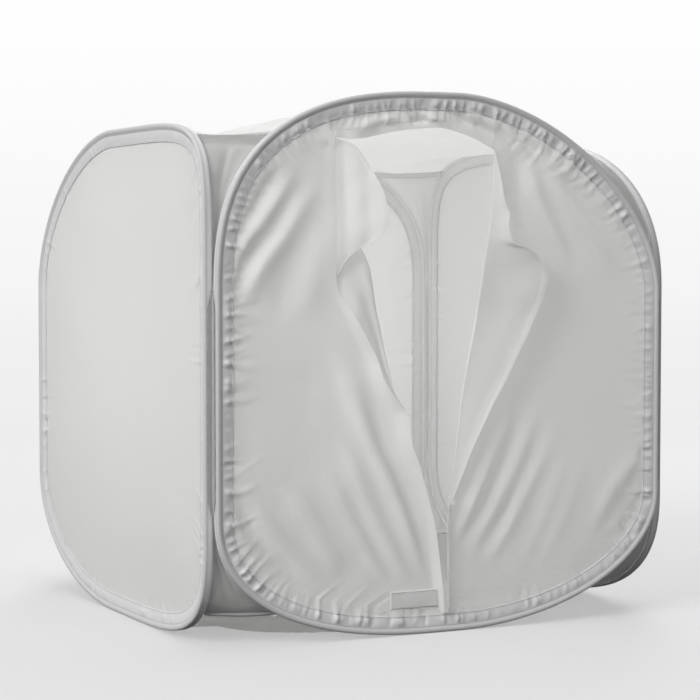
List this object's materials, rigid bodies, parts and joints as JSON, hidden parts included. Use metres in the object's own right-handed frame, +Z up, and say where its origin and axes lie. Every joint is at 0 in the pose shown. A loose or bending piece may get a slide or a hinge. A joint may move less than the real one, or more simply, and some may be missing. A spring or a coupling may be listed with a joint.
{
  "type": "light tent cube",
  "caption": "White cloth light tent cube: sprung-steel hoop frames in sewn hems, joined at the corners, with a cut front whose upper corners turn back.",
  "frame": {"origin": "on the surface the tent stands on, on the underside of the floor cloth, midway between the front and back hoops and midway between the side hoops", "axes": "+X to the right seen from the front, +Y from the front opening towards the back, +Z up"},
  "size_m": [0.6212, 0.6428, 0.6428],
  "materials": {
    "white_cloth": "matte",
    "hem_cloth": "matte",
    "tape_cloth": "matte",
    "label_cloth": "satin",
    "spring_steel": "satin",
    "zinc": "satin"
  },
  "bodies": {
    "front": {"front_hoop": "spring_steel", "front_ferrule": "zinc", "front_hem": "hem_cloth", "front_panel": "white_cloth", "left_facing": "white_cloth", "label": "label_cloth", "front_left_seam_tape": "tape_cloth", "front_left_upper_web": "white_cloth", "front_left_upper_binding": "tape_cloth", "front_left_lower_web": "white_cloth", "front_left_lower_binding": "tape_cloth", "front_right_seam_tape": "tape_cloth", "front_right_upper_web": "white_cloth", "front_right_upper_binding": "tape_cloth", "front_right_lower_web": "white_cloth", "front_right_lower_binding": "tape_cloth", "ceiling": "white_cloth", "floor": "white_cloth"},
    "left": {"left_hoop": "spring_steel", "left_ferrule": "zinc", "left_hem": "hem_cloth", "left_panel": "white_cloth", "back_left_seam_tape": "tape_cloth", "back_left_upper_web": "white_cloth", "back_left_upper_binding": "tape_cloth", "back_left_lower_web": "white_cloth", "back_left_lower_binding": "tape_cloth"},
    "right": {"right_hoop": "spring_steel", "right_ferrule": "zinc", "right_hem": "hem_cloth", "right_panel": "white_cloth", "back_right_seam_tape": "tape_cloth", "back_right_upper_web": "white_cloth", "back_right_upper_binding": "tape_cloth", "back_right_lower_web": "white_cloth", "back_right_lower_binding": "tape_cloth"},
    "back": {"back_hoop": "spring_steel", "back_ferrule": "zinc", "back_hem": "hem_cloth", "back_panel": "white_cloth"},
    "left_lapel": {"left_lapel": "white_cloth"},
    "right_lapel": {"right_lapel": "white_cloth"}
  },
  "joints": [
    {"name": "frame_fold", "type": "hinge", "parent": "front", "child": "left", "pos_m": [-0.3003, -0.3003, 0.28], "axis": [0, 0, 1], "range_deg": [-88, 88], "deforming": ["front_left_seam_tape", "front_left_upper_web", "front_left_upper_binding", "front_left_lower_web", "front_left_lower_binding", "front_right_seam_tape", "front_right_upper_web", "front_right_upper_binding", "front_right_lower_web", "front_right_lower_binding", "back_right_seam_tape", "back_right_upper_web", "back_right_upper_binding", "back_right_lower_web", "back_right_lower_binding", "back_left_seam_tape", "back_left_upper_web", "back_left_upper_binding", "back_left_lower_web", "back_left_lower_binding", "ceiling", "floor"]},
    {"name": "right_fold", "type": "hinge", "parent": "front", "child": "right", "pos_m": [0.3003, -0.3003, 0.28], "axis": [0, 0, 1], "range_deg": [-88, 88]},
    {"name": "back_fold", "type": "hinge", "parent": "left", "child": "back", "pos_m": [-0.3003, 0.3003, 0.28], "axis": [0, 0, 1], "range_deg": [-88, 88]},
    {"name": "left_lapel_turn", "type": "hinge", "parent": "front", "child": "left_lapel", "pos_m": [-0.14656, -0.3056, 0.44072], "axis": [-0.0215, 0, 0.9998], "range_deg": [-125, 0]},
    {"name": "right_lapel_turn", "type": "hinge", "parent": "front", "child": "right_lapel", "pos_m": [-0.00749, -0.3056, 0.14368], "axis": [0.1589, 0, 0.9873], "range_deg": [-160, 0]}
  ],
  "couplings": [
    {"joint": "right_fold", "follows": "frame_fold", "ratio": 1},
    {"joint": "back_fold", "follows": "frame_fold", "ratio": -1}
  ]
}
